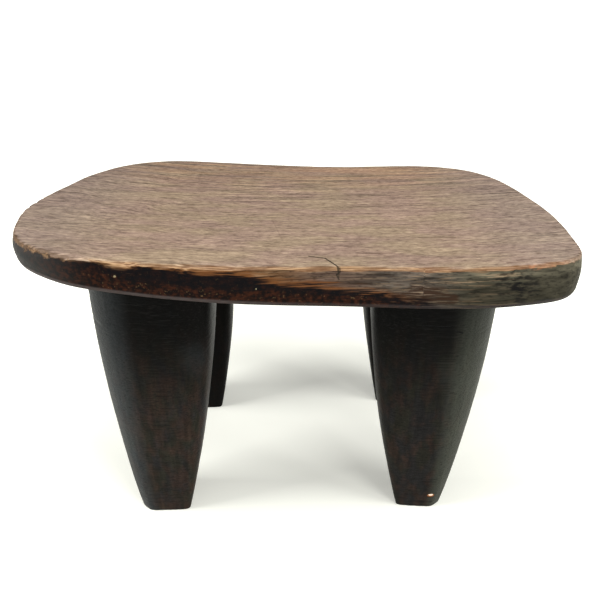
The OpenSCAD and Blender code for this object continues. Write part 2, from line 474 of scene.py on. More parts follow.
shares = crowded_shares(COLUMNS)
edge, out = outline(shares)
column_points = np.stack([edge.real, edge.imag, np.full(COLUMNS, top_z(0))], axis=-1)
azimuth = np.degrees(np.angle(edge))
bare = np.interp(azimuth, list(BARE_SHARE), list(BARE_SHARE.values()))
lower = np.interp(azimuth, list(LOWER_RADIUS), list(LOWER_RADIUS.values()))
upper = UPPER_RADIUS + sum(most * lumps(column_points, *lump) for most, *lump in UPPER_WAVERS)


def section():
    """The shrink, inset, rise above the underside, drop below the top and tilt of each row of the seat.

    A row is the outline moved in by its inset and then shrunk towards the middle. It has a rise or a
    drop, and between the arrises a rise and, for its drop, its share of the way from one to the other.
    """
    rows = []
    for share in np.linspace(0, 1, UNDER_ROWS, endpoint=False)[1:] ** UNDER_POWER:
        rows.append((share, BELLY + lower, 0, None, -math.pi / 2))
    for angle in np.radians(np.linspace(0, 90, LOWER_ROWS)):
        inset = BELLY + lower * (1 - math.sin(angle))
        rows.append((1, inset, lower * (1 - math.cos(angle)), None, angle - math.pi / 2))
    for share in np.linspace(0, 1, EDGE_ROWS + 2)[1:-1]:
        rows.append((1, BELLY * (1 - math.sin(math.pi * share)), lower, share, 0))
    for angle in np.radians(np.linspace(0, 90, UPPER_ROWS)):
        inset = BELLY + upper * (1 - math.cos(angle))
        rows.append((1, inset, None, upper * (1 - math.sin(angle)), angle))
    for share in 1 - np.linspace(0, 1, TOP_ROWS + 2)[1:-1] ** TOP_POWER:
        rows.append((share, BELLY + upper, None, 0, math.pi / 2))
    return rows


def place_row(shrink, inset, rise, drop, tilt):
    """One row of the seat's points, and which way the surface faces there.

    The height is the underside's plus the rise, or the top's minus the drop.
    """
    flat = (edge - inset * out) * shrink
    low, high = under_z(flat.real), top_z(flat.real)
    if drop is None:
        height = low + rise
    elif rise is None:
        height = high - drop
    else:
        height = low + rise + drop * (high - upper - low - rise)
    points = np.stack([flat.real, flat.imag, height], axis=-1)
    level, lift = math.cos(tilt), math.sin(tilt)
    facing = np.stack([level * out.real, level * out.imag, np.full(COLUMNS, lift)], axis=-1)
    return points, facing


placed = [place_row(*row) for row in section()]
seat_rows, facing = (np.array(part) for part in zip(*placed))
steps = np.linalg.norm(np.diff(seat_rows, axis=0), axis=-1)
arc = np.append(np.zeros((1, COLUMNS)), np.cumsum(steps, axis=0), axis=0)
lower_row = UNDER_ROWS - 1
from_lip = arc - arc[lower_row + LOWER_ROWS // 2]
from_arris = arc - arc[lower_row + LOWER_ROWS + EDGE_ROWS + UPPER_ROWS // 2]
edge_low = under_z(edge.real) + lower
edge_high = top_z(edge.real) - upper
above_worn = seat_rows[..., 2] - (edge_high - bare * (edge_high - edge_low))
print("rows", len(seat_rows), "columns", COLUMNS)

# %% [markdown]
# Now the tool marks: all of them only take wood away, so the seat stays inside its solid. Broad, low
# waves are left by the adze. The bevel takes more the higher it is above the worn line. The arris is
# nibbled near the front corners and hardly elsewhere, and the top has sunk in broad hollows.

# %% Tool marks and wear on the seat
# Each mark starts with its depth in mm and ends with the size, seed and stretch of its lumps. A nick
# has a level in between.
ADZE_WAVES = [(0.2, 34, 3), (0.1, 11, 4, (1.6, 1, 1.6))]
NIBBLES = [(1.8, 0.28, 5.5, 5, (1.7, 1, 1)), (0.9, 0.2, 2.6, 6, (1.8, 1, 1))]
NIBBLED_WIDTH = 4.5
NIBBLED_ELSEWHERE = 0.12
GRAIN_RIPPLE = (0.1, 1.6, 7, (16, 1, 1))
TOP_HOLLOWS = (0.5, 60, 8, (1.6, 1, 1))
BEVEL_SLOPE = 0.05
BEVEL_UP_TO = 0.9

front = s_curve(-seat_rows[..., 1], 0.55 * half_width, 0.9 * half_width)
near_arris = np.exp(-((from_arris / NIBBLED_WIDTH) ** 2))
on_edge = s_curve(abs(facing[..., 2]), 0.9, 0.5)
adze = sum(hollows(seat_rows, *wave) for wave in ADZE_WAVES) * on_edge
front_corners = s_curve(abs(azimuth + 90), 30, 48) * s_curve(azimuth, -10, -30)
nibbled = NIBBLED_ELSEWHERE + (1 - NIBBLED_ELSEWHERE) * front_corners
nibbles = sum(nicks(seat_rows, *nibble) for nibble in NIBBLES) * near_arris * nibbled
bevel = BEVEL_SLOPE * np.clip(above_worn, 0, None) * on_edge * front * (bare < BEVEL_UP_TO)
ripple = hollows(seat_rows, *GRAIN_RIPPLE) * front * on_edge
hollow = hollows(seat_rows, *TOP_HOLLOWS) * s_curve(from_arris, 0, 40)
taken = adze + nibbles + bevel + ripple + hollow
seat_rows = np.clip(seat_rows - facing * taken[..., None], seat_low, seat_high)

ends = [(0, 0, under_z(0)), (0, 0, seat_rows[-1, :, 2].mean())]
facts = {"from_arris": from_arris, "from_lip": from_lip, "above_worn": above_worn}
seat = surface("seat_wood", seat_rows, *ends, facts)
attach(seat, "root")
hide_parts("seat")
print("deepest mark", round(taken.max(), 2), "mm")

# %% [markdown]
# ## The section of a leg
# A leg is a blunt bullet: small, squarish and flat at the floor, and growing as it rises, with sides
# that bow out a little. Its section is a square that the carver turned into eight flats: a broad one
# across the corner that points outwards, and three small ones across the others. Written as a reach
# at each angle, such a shape needs no corners to be joined: a straight side lies nearer the middle
# than any other side wherever its own cosine is greatest, and a high power in a sum picks that one
# out and softens the corners by the way. The lower the power, the softer they are.
#
# The knife's long soft flats on top of that are a second, fainter shape of the same kind.

# %% How far a leg reaches at each angle
LEG_COLUMNS, LEG_ROWS = 320, 240
CRISPNESS = 8
OUTER_FLAT, INNER_FLAT = 1.06, 1.4
CRISPNESS_AT_FOOT, OUTER_FLAT_AT_FOOT = 18, 1.12
KNIFE_FLATS = 15
KNIFE_SHARPNESS = 90
FLATS_UNEVEN, FLATS_DRIFT = 0.3, 0.25

angles = np.linspace(0, 2 * np.pi, LEG_COLUMNS, endpoint=False)


def section_reach(outer_corner, crispness=CRISPNESS, outer_flat=OUTER_FLAT):
    """How far a leg's section reaches at each angle, where its sides lie one away from its middle.

    Each side counts with its cosine over its distance. The reach is one over the sum of their powers,
    brought back by the same root.
    """
    total = abs(np.cos(angles)) ** crispness + abs(np.sin(angles)) ** crispness
    for quarter, flat in enumerate((outer_flat, INNER_FLAT, INNER_FLAT, INNER_FLAT)):
        towards = np.cos(angles - np.radians(outer_corner + 90 * quarter))
        total += (np.clip(towards, 0, 1) / flat) ** crispness
    return total ** (-1 / crispness)


def knife_reach(height, seed):
    """How far a polygon with soft corners reaches, from about 0.98 to 1, turning with the height.

    It is the cosine of half a side's angle over the greatest cosine towards the middle of any side.
    """
    chance = np.random.default_rng(seed)
    uneven = chance.uniform(-FLATS_UNEVEN, FLATS_UNEVEN, KNIFE_FLATS)
    middles = (np.arange(KNIFE_FLATS) + uneven) * 2 * np.pi / KNIFE_FLATS
    drift = chance.uniform(-FLATS_DRIFT, FLATS_DRIFT, KNIFE_FLATS)
    angle = angles[None, :, None] - middles - drift * height[:, None, None]
    nearest = np.sum(np.clip(np.cos(angle), 0, 1) ** KNIFE_SHARPNESS, axis=-1) ** (1 / KNIFE_SHARPNESS)
    flat = math.cos(np.pi / KNIFE_FLATS)
    return flat / np.clip(nearest, flat, 1)


print("a section reaches from 1 to", round(section_reach(225).max(), 3))

# %% [markdown]
# ## The legs
# The sizes of a foot and of a root are read from the CAD leg, whose lowest ring lies on the floor and
# whose last ring lies on the underside of the seat. Between the two, the half width grows in a
# straight line plus a bow. Towards the foot the corners grow crisper and the outer flat narrower. The
# top of the new leg reaches a little into the seat and widens where it meets it, because on the real
# stool there is no seam. Cuts and hollows only take wood away, and the rim of the sole is worn ragged.

# %% The legs
FOOT_BEVEL = 0.6
CRISP_UP_TO = 0.4
LEGS = {
    "front_left_leg": {"outer_corner": 225, "turned": 2.5, "bow": 5.5},
    "front_right_leg": {"outer_corner": 315, "turned": -6, "bow": 5.5},
    "rear_left_leg": {"outer_corner": 135, "turned": 3, "bow": 7.5},
    "rear_right_leg": {"outer_corner": 45, "turned": -3, "bow": 4},
}
KNIFE_DEPTH = 0.25
FILLET_HEIGHT = 6.0
FILLET_REACH = 4.0
INTO_SEAT = 2.0
# A hollow has its depth in mm and the size and stretch of its lumps, and the nicks a level and those
LEG_HOLLOWS = [(0.25, 30, (1, 1, 1.8)), (0.08, 7, (1, 1, 2)), (0.05, 2.2, (18, 3, 1))]
LEG_NICKS = (0.5, 2.2, (6, 6, 1))
NICK_DEPTH, NICK_DEPTH_AT_SEAT = 0.1, 1.1
NICKS_DEEPEN = (150, 200)
RIM_WIDTH = 0.7
RIM_WAVERS = [(0.4, 7), (0.2, 2.5)]
SOLE_SHRINKS = (0.35, 0.7, 0.92)
ROOT_SHRINKS = (0.6, 0.3)


def fit_section(ring, unit):
    """The middle and the half width at which a unit section fills the box of a ring of points."""
    low, high = ring.min(0)[:2], ring.max(0)[:2]
    unit_low, unit_high = unit.min(0), unit.max(0)
    half = (high - low)[1] / (unit_high - unit_low)[1]
    return (low + high - half * (unit_low + unit_high)) / 2, half


def carve_leg(node, seed, outer_corner, turned, bow):
    """A leg from its sole up into the seat, with its foot and its root read from its solid.

    The half width is the foot's, plus the share of the way up times the growth to the root's, plus
    four bows times the share times what is left of it. Each row is the section's reach times that,
    round a middle that moves in a straight line from foot to root.
    """
    way = angles + np.radians(turned)
    outward = np.stack([np.cos(way), np.sin(way)], axis=-1)
    reach = section_reach(outer_corner)
    unit = outward * reach[:, None]
    points = node_points(node)
    foot, sole_half = fit_section(points[points[:, 2] < 0.01], unit)
    root, root_half = fit_section(points[abs(points[:, 2] - under_z(points[:, 0])) < 0.02], unit)
    foot_half = sole_half + FOOT_BEVEL

    share = np.linspace(0, 1, LEG_ROWS)
    at_foot = section_reach(outer_corner, CRISPNESS_AT_FOOT, OUTER_FLAT_AT_FOOT)
    at_foot *= np.ptp(unit[:, 1]) / np.ptp(outward[:, 1] * at_foot)
    reach = reach + (at_foot - reach) * s_curve(share, CRISP_UP_TO, 0)[:, None]
    half = foot_half + (root_half - foot_half) * share + 4 * bow * share * (1 - share)
    middle = foot + (root - foot) * share[:, None]
    across = half[:, None] * reach * (1 - KNIFE_DEPTH * (1 - knife_reach(share, seed)))
    rows = np.empty((LEG_ROWS, LEG_COLUMNS, 3))
    rows[..., :2] = middle[:, None] + across[..., None] * outward
    rows[..., 2] = share[:, None] * under_z(rows[..., 0])

    height = rows[..., 2]
    below_seat = under_z(rows[..., 0]) - height
    seeds = count(seed + 1)
    taken = sum(hollows(rows, depth, size, next(seeds), stretch) for depth, size, stretch in LEG_HOLLOWS)
    nick_depth = NICK_DEPTH + (NICK_DEPTH_AT_SEAT - NICK_DEPTH) * s_curve(height, *NICKS_DEEPEN)
    above, size, stretch = LEG_NICKS
    taken += nicks(rows, nick_depth, above, size, next(seeds), stretch)
    rim = RIM_WIDTH + sum(most * lumps(rows, size, next(seeds)) for most, size in RIM_WAVERS)
    taken += np.clip(1.2 - height / rim, 0, 1) ** 2 * rim
    fillet = FILLET_REACH * np.clip(1 - below_seat / FILLET_HEIGHT, 0, 1) ** 2
    rows[..., :2] += outward * (fillet - taken)[..., None]
    rows[-1, :, 2] += INTO_SEAT

    sole = np.array([rows[0] * (s, s, 0) + (*foot * (1 - s), 0) for s in SOLE_SHRINKS])
    root_middle = np.array((*root, rows[-1, :, 2].mean()))
    inside = np.array([rows[-1] * s + root_middle * (1 - s) for s in ROOT_SHRINKS])
    all_rows = np.concatenate([sole, rows, inside])
    outwards = np.clip(np.cos(angles - np.radians(outer_corner)), 0, 1) ** 2
    facts = {"outer_side": np.broadcast_to(outwards, all_rows.shape[:2])}
    leg = surface(node + "_wood", all_rows, (*foot, 0), root_middle, facts)
    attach(leg, "root")
    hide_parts(node)
    print("  foot", np.round(2 * foot_half, 1), "mm wide, root", np.round(2 * root_half, 1), "mm wide")
    return leg


legs = [carve_leg(node, 100 * (i + 1), **sizes) for i, (node, sizes) in enumerate(LEGS.items())]

# %% [markdown]
# ## Grain
# One pattern of grain runs through the whole block, along X, and every finish reads it at the
# object's own coordinates, so that it carries on from the seat into the legs. A long fibre is a
# lump of noise that has been stretched along X. The place is swayed a little first, because no
# fibre is straight, and much more near the left end, where the grain curls round an old branch.

# %% Grain
FIBRE_SWAY = 5 * MM
SWAY_SIZE = 120 * MM
CURL = 10 * MM
CURL_SIZE = 50 * MM
CURL_COMES = (-40, -120)
# The width and the length of each kind of fibre in mm, and the detail in its noise
FIBRES = {
    "pores": (1.3, 5, 2.0), "flecks": (2.2, 6, 3.0), "fine": (3, 26, 4.0), "lines": (0.9, 45, 3.0),
    "streaks": (4, 120, 3.0), "bands": (9, 170, 2.0), "patches": (28, 60, 3.0),
}
SPECK_SIZE = 1.5 * MM
BUMP_DEPTH = 0.3 * MM


def wood_grain(recipe):
    """The place on the block, and its fibres in several sizes, as wires from 0 to 1 around 0.5."""
    place = recipe.node("ShaderNodeTexCoord", output="Object")
    x, y, z = [recipe.node("ShaderNodeSeparateXYZ", {}, {0: place}, axis) for axis in "XYZ"]
    sway = (recipe.noise(place, SWAY_SIZE, 1) - 0.5) * (2 * FIBRE_SWAY)
    curl = (recipe.noise(place, CURL_SIZE, 1) - 0.5) * (2 * CURL) * x.past(*CURL_COMES)
    wires = {"place": place, "x": x, "y": y, "z": z, "off_middle": x.math("ABSOLUTE", x)}
    wires["specks"] = recipe.noise(place, SPECK_SIZE)
    for name, (width, length, detail) in FIBRES.items():
        sockets = {"X": (x + curl) * (width / length), "Y": y + sway + curl, "Z": z + sway}
        stretched = recipe.node("ShaderNodeCombineXYZ", {}, sockets)
        wires[name] = recipe.noise(stretched, width * MM, detail)
    return SimpleNamespace(**wires)


def uneven(grain, **swings):
    """The sum of some of the grain's values, each swinging about 0 by its own amount."""
    return sum((getattr(grain, name) - 0.5) * swing for name, swing in swings.items())


def tone(share, least):
    """1 where a share is 0, and down to `least` where it is 1."""
    return 1 - share * (1 - least)


def fact(recipe, name):
    """One of the values that the surface stored at its points."""
    return recipe.node("ShaderNodeAttribute", {"attribute_name": name}, output="Fac")


def wooden(name, pieces, shine, paint):
    """A material that `paint` fills with a colour, a roughness and a height, given to some pieces."""
    recipe = new_finish(name, pieces)
    base, roughness, height = paint(recipe, wood_grain(recipe))
    bump = recipe.node("ShaderNodeBump", {}, {"Height": height, "Distance": BUMP_DEPTH})
    sockets = {"Base Color": base, "Roughness": roughness, "Normal": bump, "Specular IOR Level": shine}
    wood = recipe.node("ShaderNodeBsdfPrincipled", {}, sockets)
    recipe.node("ShaderNodeOutputMaterial", {}, {"Surface": wood})
    print(name, "has", len(recipe.tree.nodes), "nodes")


print(len(FIBRES), "kinds of fibre, the longest", FIBRES["bands"][1], "mm long")

# %% [markdown]
# ## Marks
# The stool carries marks of its own: a crack that turns down over the front edge, a scratch, short
# cuts across the legs and a few chips. Each is found from how far a place is from a point or from a
# straight line. The distance is squashed in the direction that a mark's face looks, so that no mark
# misses an uneven surface.

# %% Marks
# Each set of paths starts with half the width of its lines in mm, and a path has its squash and its
# corners. A spot has its squash, its middle and its radius.
ON_TOP, ON_FRONT, ON_CORNER = (1, 1, 0.1), (1, 0.1, 1), (1, 0.5, 0.5)
CRACK = 1.0, [
    (ON_TOP, (10.7, -129.6, 251), (22.2, -133.3, 251), (31.7, -152.8, 251)),
    (ON_FRONT, (31.5, -157, 252), (32, -157, 247.4), (29.6, -157, 245.1), (31, -157, 242.1)),
]
SCRATCH = 0.9, [(ON_TOP, (-17.9, -42.9, 251), (-8.4, -97.8, 251))]
DARK_FIBRES = 1.2, [
    (ON_TOP, (46, -122, 251), (60, -123, 251), (74, -122, 251)),
    (ON_TOP, (-78, 30, 251), (-24, 33, 251)), (ON_TOP, (98, -88, 251), (126, -90, 251)),
    (ON_TOP, (158, -144, 251), (178, -142, 251)), (ON_TOP, (150, -148, 251), (162, -148, 251)),
]
LEG_CUTS = 0.7, [
    (ON_FRONT, (-95.7, -134, 206), (-86.7, -134, 206.4)), (ON_FRONT, (97.3, -136, 197), (117, -136, 196.6)),
    (ON_FRONT, (121.9, -135, 192.8), (127.1, -135, 190.9)),
]
FRESH_CHIPS = 1.4, [(ON_CORNER, (164, -152, 250), (180, -150, 251), (193, -146, 252))]
GOLD_CHIPS = 1.4, [
    (ON_CORNER, (-188, -135.5, 261), (-184, -138.5, 260)),
    (ON_CORNER, (-176, -143, 259), (-173, -145, 258)),
]
BROWN_STREAKS = 6, [
    (ON_FRONT, (66, -156, 229), (112, -153, 228)), (ON_FRONT, (84, -156, 234), (104, -154, 233)),
]
EDGE_CHIPS = [(ON_FRONT, (-124.9, -150, 246.2), 1.1), (ON_FRONT, (-27, -157, 236.4), 0.7)]
STAINS = [(ON_FRONT, (151, -157, 240), 13), (ON_FRONT, (163, -157, 235), 13)]
# Two patches of painted sheen on the front legs, each with its squash, middle and radius
PAINTED_SHEENS = [((1, 0.2, 0.6), (-79, -118, 166), 15), ((1, 0.2, 0.5), (123, -118, 150), 16)]
FOOT_CHIP = ((0.7, 0.1, 1.3), (121.3, -107, 16.8), 1.7)
FOOT_CHIP_RIM = ((0.7, 0.1, 1.1), (121.3, -107, 16.2), 2.4)
RAGGED = 0.7


def near_line(grain, squash, start, end, half_width):
    """1 beside a straight line and 0 away from it.

    The share of the way along is the dot product of the place, seen from the start, with the line,
    over the square of the line's length, and is held between 0 and 1.
    """
    recipe, squash = grain.place.recipe, Vector(squash)
    start, end = Vector(start) * squash * MM, Vector(end) * squash * MM
    line = end - start
    seen = recipe.vector("SUBTRACT", recipe.vector("MULTIPLY", grain.place, squash), start)
    share = recipe.vector("DOT_PRODUCT", seen, line / line.length_squared, "Value").clamp()
    away = recipe.vector("DISTANCE", seen, recipe.vector("SCALE", line, share), "Value")
    away = away + (grain.pores - 0.5) * MM
    return away.rise(half_width * MM, half_width * MM * 0.4)


def near_paths(grain, half_width, paths):
    """1 beside any of several paths, each a row of straight lines from corner to corner."""
    lines = [(squash, *ends) for squash, *corners in paths for ends in zip(corners, corners[1:])]
    return sum(near_line(grain, *line, half_width) for line in lines).clamp()


def near_point(grain, squash, middle, radius, full=0.7):
    """1 within a share `full` of a radius of a point and 0 outside the radius, with a ragged edge."""
    recipe, squash = grain.place.recipe, Vector(squash)
    squashed = recipe.vector("MULTIPLY", grain.place, squash)
    away = recipe.vector("DISTANCE", squashed, Vector(middle) * squash * MM, "Value")
    ragged = away + (recipe.noise(grain.place, radius * MM) - 0.5) * (RAGGED * radius * MM)
    return ragged.rise(radius * MM, radius * MM * full)


print("the crack has", len(CRACK[1]), "parts, one on the top and one down the front")

# %% [markdown]
# ## Smoke-dark wood
# The legs are nearly black, with a soft shine from handling. The dark skin is not one colour: it is
# olive here, blue there, and a dull red where it has worn thin. Soft noise chooses between the three.
# Painted shade darkens the legs from the feet up towards the seat, and darkens the rear legs more.
# Their outer corners are grey in the upright strokes of the knife, partly from wear and partly a
# painted sheen, and two patches of painted sheen lie on the front legs. Under the seat level lines of
# grain stand out.

# %% The dark skin, and the legs' finish
SKIN_OLIVE = colour(33, 32, 26)
SKIN_BLUE = colour(30, 29, 29)
SKIN_RED = coat(48, 35, 29, 0.7)
SKIN_BLACK = colour(12, 12, 12)
# The grey of the outer corners, blue on the left legs and olive on the right, is partly wear and partly a
# painted sheen; it also colours the painted sheen patches
WORN_BLUE_SHEEN = colour(54, 58, 60)
WORN_OLIVE_SHEEN = colour(57, 59, 52)
WEAR_AND_SHEEN_AT_LEFT, MORE_AT_RIGHT = 0.7, 0.32
RAISED_LINE = coat(48, 47, 46, 0.16)
SUNK_SOOT = (SKIN_BLACK, 0.5)
# How much the patches of painted sheen cover
PAINTED_SHEEN_SHARE = 0.22
CHIP_COLOUR = colour(246, 222, 200)
CHIP_RIM = colour(142, 84, 42)
LEG_SHINE = 0.033
# The patches and the knife's strokes are lumps that are drawn out upwards
PATCH_SQUASH, BLUE_PATCH, RED_PATCH = (1, 1, 0.45), 12 * MM, 8 * MM
STROKE_SQUASH, STROKE_SIZE = (1, 1, 0.08), 4 * MM
# The stretches in mm over which the legs change, and how light they still are at the end
# Painted shade under the seat: the legs darken up towards it
SEAT_SHADE_DEEPENS_UP, LIGHT_IN_SEAT_SHADE = (90, 205), 0.03
# Painted shade that darkens the rear legs
BACK_SHADE_COMES, LIGHT_IN_BACK_SHADE = (-50, 30), 0.15
TO_THE_RIGHT, LIGHT_AT_RIGHT = (-30, 30), 0.8
# The grey of wear and painted sheen on the outer corners fades towards the seat
WEAR_AND_SHEEN_FADE_UP, WEAR_AND_SHEEN_AT_SEAT = (130, 215), 0.55
LINES_COME_UP = (90, 180)


def dark_skin(recipe, grain, right):
    """The colour of the smoked surface, in soft patches that are taller than wide."""
    tall = recipe.vector("MULTIPLY", grain.place, PATCH_SQUASH)
    blue = recipe.noise(tall, BLUE_PATCH).rise(0.38, 0.62)
    red = recipe.noise(tall, RED_PATCH, 5.0).rise(0.36 + right * 0.08, 0.68)
    base = recipe.lay(red, recipe.mix(blue, SKIN_OLIVE, SKIN_BLUE), SKIN_RED)
    return recipe.vector("SCALE", base, 0.1 + grain.specks * 0.9 + grain.flecks * 0.9)


def paint_legs(recipe, grain):
    """The skin with painted shade towards the seat and on the rear legs, grey outer corners from wear and a
    painted sheen, and level lines near the seat.
    """
    right = grain.x.past(*TO_THE_RIGHT)
    # Painted shade: darker up towards the seat and on the rear legs
    back_shade = tone(grain.y.past(*BACK_SHADE_COMES), LIGHT_IN_BACK_SHADE)
    light = tone(grain.z.past(*SEAT_SHADE_DEEPENS_UP), LIGHT_IN_SEAT_SHADE) * back_shade
    base = recipe.vector("SCALE", dark_skin(recipe, grain, right), light * tone(right, LIGHT_AT_RIGHT))
    strokes = recipe.noise(recipe.vector("MULTIPLY", grain.place, STROKE_SQUASH), STROKE_SIZE)
    base = recipe.vector("SCALE", base, 0.35 + strokes * 1.3)
    # The outer corners turn grey, partly from wear and partly as a painted sheen
    wear_and_sheen = recipe.mix(right, WORN_BLUE_SHEEN, WORN_OLIVE_SHEEN)
    corner_wear_and_sheen = fact(recipe, "outer_side").rise(0.7, 0.98) * (0.2 + grain.specks * 0.5 + strokes * 0.5)
    corner_wear_and_sheen = corner_wear_and_sheen * tone(grain.z.past(*WEAR_AND_SHEEN_FADE_UP), WEAR_AND_SHEEN_AT_SEAT)
    base = recipe.mix(corner_wear_and_sheen * (WEAR_AND_SHEEN_AT_LEFT + right * MORE_AT_RIGHT), base, wear_and_sheen)
    # Two patches of painted sheen on the front legs
    for patch in PAINTED_SHEENS:
        base = recipe.mix(near_point(grain, *patch, 0) * PAINTED_SHEEN_SHARE, base, wear_and_sheen)
    near_seat = grain.z.past(*LINES_COME_UP) * back_shade
    base = recipe.lay(grain.lines.rise(0.5, 0.7) * near_seat, base, RAISED_LINE)
    base = recipe.lay(grain.lines.rise(0.48, 0.34), base, SUNK_SOOT)
    cuts = near_paths(grain, *LEG_CUTS)
    base = recipe.mix(cuts, base, SKIN_BLACK)
    base = recipe.mix(near_point(grain, *FOOT_CHIP_RIM), base, CHIP_RIM)
    base = recipe.mix(near_point(grain, *FOOT_CHIP), base, CHIP_COLOUR)
    height = grain.fine * 0.4 + grain.lines * 0.8 + grain.specks * 0.5 - cuts * 2
    return base, 0.32 + grain.fine * 0.2, height


wooden("smoked leg wood", legs, LEG_SHINE, paint_legs)

# %% [markdown]
# ## The top of the seat
# The top is bare, rubbed wood. Close up it is a weave of short light flecks and dark pores, and from
# afar it is pink in some patches and olive in others. Towards the back it is darker and more orange,
# and towards both ends greyer, where hands take hold of it.

# %% The top's colour
TAN_PINK = colour(169, 143, 126)
TAN_OLIVE = colour(164, 143, 119)
TAN_ORANGE = coat(172, 136, 106, 0.6)
TAN_GREY = coat(156, 139, 128, 0.6)
FLECK = coat(198, 174, 148, 0.3)
PORE_BROWN = colour(96, 74, 60)
DARK_FLECK, PORE, SCRATCHED, DARK_FIBRE = [(PORE_BROWN, share) for share in (0.3, 0.35, 0.16, 0.6)]
TOP_LIGHT, DARKER_BACK = 0.96, 0.5
# The stretches in mm over which the top changes, towards the back and off the middle
ORANGE_COMES, BEHIND, GREY_COMES = (20, 130), (-60, 60), (110, 200)


def paint_top(recipe, grain):
    """The colour of the bare top, from the middle of the block out to its rim."""
    top = recipe.mix(grain.patches.rise(0.38, 0.62), TAN_PINK, TAN_OLIVE)
    back = grain.y.past(*ORANGE_COMES) * grain.bands.rise(0.4, 0.6)
    top = recipe.lay(back, top, TAN_ORANGE)
    top = recipe.lay(grain.off_middle.past(*GREY_COMES), top, TAN_GREY)
    top = recipe.lay(grain.flecks.rise(0.54, 0.66), top, FLECK)
    top = recipe.lay(grain.flecks.rise(0.47, 0.37), top, DARK_FLECK)
    top = recipe.lay(grain.pores.rise(0.54, 0.66), top, PORE)
    behind = grain.y.past(*BEHIND)
    light = TOP_LIGHT + uneven(grain, fine=1.1, flecks=0.5, lines=0.6, specks=0.35, patches=0.4)
    light = light + uneven(grain, streaks=0.6 + behind * 0.6, bands=0.3 + behind * 0.9)
    top = recipe.vector("SCALE", top, light - grain.y * DARKER_BACK)
    top = recipe.lay(near_paths(grain, *SCRATCH), top, SCRATCHED)
    return recipe.lay(near_paths(grain, *DARK_FIBRES), top, DARK_FIBRE)


print("the top's colours:", np.round(TAN_PINK[:3], 3), "to", np.round(TAN_OLIVE[:3], 3))

# %% [markdown]
# ## Bare wood on the edge
# Along the right half of the front, wear has taken the skin off the edge: golden brown where it has
# only just gone, then grey and olive where the wood has weathered for longer. Long fibres stand out
# in it, pale ones and burnt ones, and it is lighter near the top than further down.

# %% The bare wood's colour
BARE_GOLD = colour(99, 71, 47)
# The next colours, and the stretches along the seat in mm that bring them in
BARE_TURNS = [(colour(89, 73, 63), -20, 22), (colour(75, 68, 61), 30, 70), (colour(58, 55, 45), 85, 130)]
BARE_FIBRE = coat(118, 98, 77, 0.6)
BURNT_BROWN = colour(46, 30, 21)
BURNT_LAYER, BURNT_STREAK = (BURNT_BROWN, 0.6), (BURNT_BROWN, 0.85)
STAIN = coat(13, 13, 15, 0.7)
# Stretches along the seat in mm, from where a thing starts to show to where it shows in full
FIBRES_SHOW, LAYERS_SHOW, HIGH_PALES, RIM_PALES = (185, 120), (120, 60), (-20, 60), (70, 120)
DIM_FROM, DIM_TO = (-50, -15), (80, 50)
# Bands in mm from the upper arris
HIGH, LOW, RIM = (-14, -4), (-12, -24), (-10, -5)


def paint_bare(recipe, grain):
    """The colour of the bare wood, which turns from gold to grey, blue and olive along X."""
    bare = BARE_GOLD
    for over, starts, ends in BARE_TURNS:
        bare = recipe.mix(grain.x.past(starts, ends), bare, over)
    fibrous = grain.x.past(*FIBRES_SHOW)
    bare = recipe.lay(grain.lines.rise(0.5, 0.7) * fibrous, bare, BARE_FIBRE)
    bare = recipe.lay(grain.pores.rise(0.5, 0.7), bare, SUNK_SOOT)
    bare = recipe.lay(grain.lines.rise(0.46, 0.36) * grain.x.past(*LAYERS_SHOW), bare, BURNT_LAYER)
    from_arris = fact(recipe, "from_arris")
    high = from_arris.rise(*HIGH) - from_arris.rise(*LOW)
    rim = from_arris.rise(*RIM) * grain.x.past(*RIM_PALES)
    light = 1 + uneven(grain, fine=1.2 + fibrous * 1.4, streaks=2)
    light = light * (0.95 + high * grain.x.past(*HIGH_PALES) * 0.25) * (1 + rim * 0.5)
    light = light * (1 - grain.x.past(*DIM_FROM) * grain.x.past(*DIM_TO) * 0.15)
    bare = recipe.vector("SCALE", bare, light)
    for stain in STAINS:
        bare = recipe.lay(near_point(grain, *stain) * grain.flecks.rise(0.6, 0.4), bare, STAIN)
    streaks = near_paths(grain, *BROWN_STREAKS) * grain.lines.rise(0.64, 0.46)
    return recipe.lay(streaks, bare, BURNT_STREAK)


print("the bare wood changes its colour", len(BARE_TURNS), "times along the front edge")

# %% [markdown]
# ## Skin on the edge
# The line between bare wood and skin wanders along the fibres. Just above it lies a fringe of orange,
# just below it a band of soot, and lower still the skin is mottled with red and dotted with ochre.
# Along the lower arris lies a thin mauve grey band, a painted highlight where the arris catches light from
# below.

# %% The edge's colour
MOTTLE_DARK = colour(19, 13, 12)
MOTTLE_RED = colour(50, 27, 18)
MOTTLE_SIZE, OCHRE_SIZE, WANDER_SIZE = 3.5 * MM, 1.8 * MM, 24 * MM
OCHRE = coat(115, 92, 63, 0.6)
SOOT = colour(13, 13, 15)
# A painted sheen: grey on the skin towards both ends of the seat
END_SHEEN_GREY = coat(49, 50, 49, 0.7)
ORANGE = coat(104, 64, 34, 0.8)
# The painted highlight on the lower arris
LIP_HIGHLIGHT = colour(70, 63, 62)
# Stretches along the seat in mm
# The last of these is where the painted sheen at the ends comes in
OCHRE_SHOWS, SOOT_SHOWS, END_SHEEN_SHOWS = (-190, -120), (-200, -110), (135, 200)
# The second of these is where the painted highlight on the lower arris grows weaker towards the right
LINE_SPREADS, LIP_HIGHLIGHT_WEAKENS = (0, 60), (-70, 30)
DEEP_FROM, DEEP_TO = (-135, -105), (-10, -50)
FRINGE_FROM, FRINGE_TO = (-130, -80), (100, 40)
# Bands in mm from the line between bare wood and skin, and from the lower arris
BARE_ABOVE, SOOT_ABOVE, FRINGE = (-2.6, 2.2), (-9, -4), [(-2.8, 0), (5, 1)]
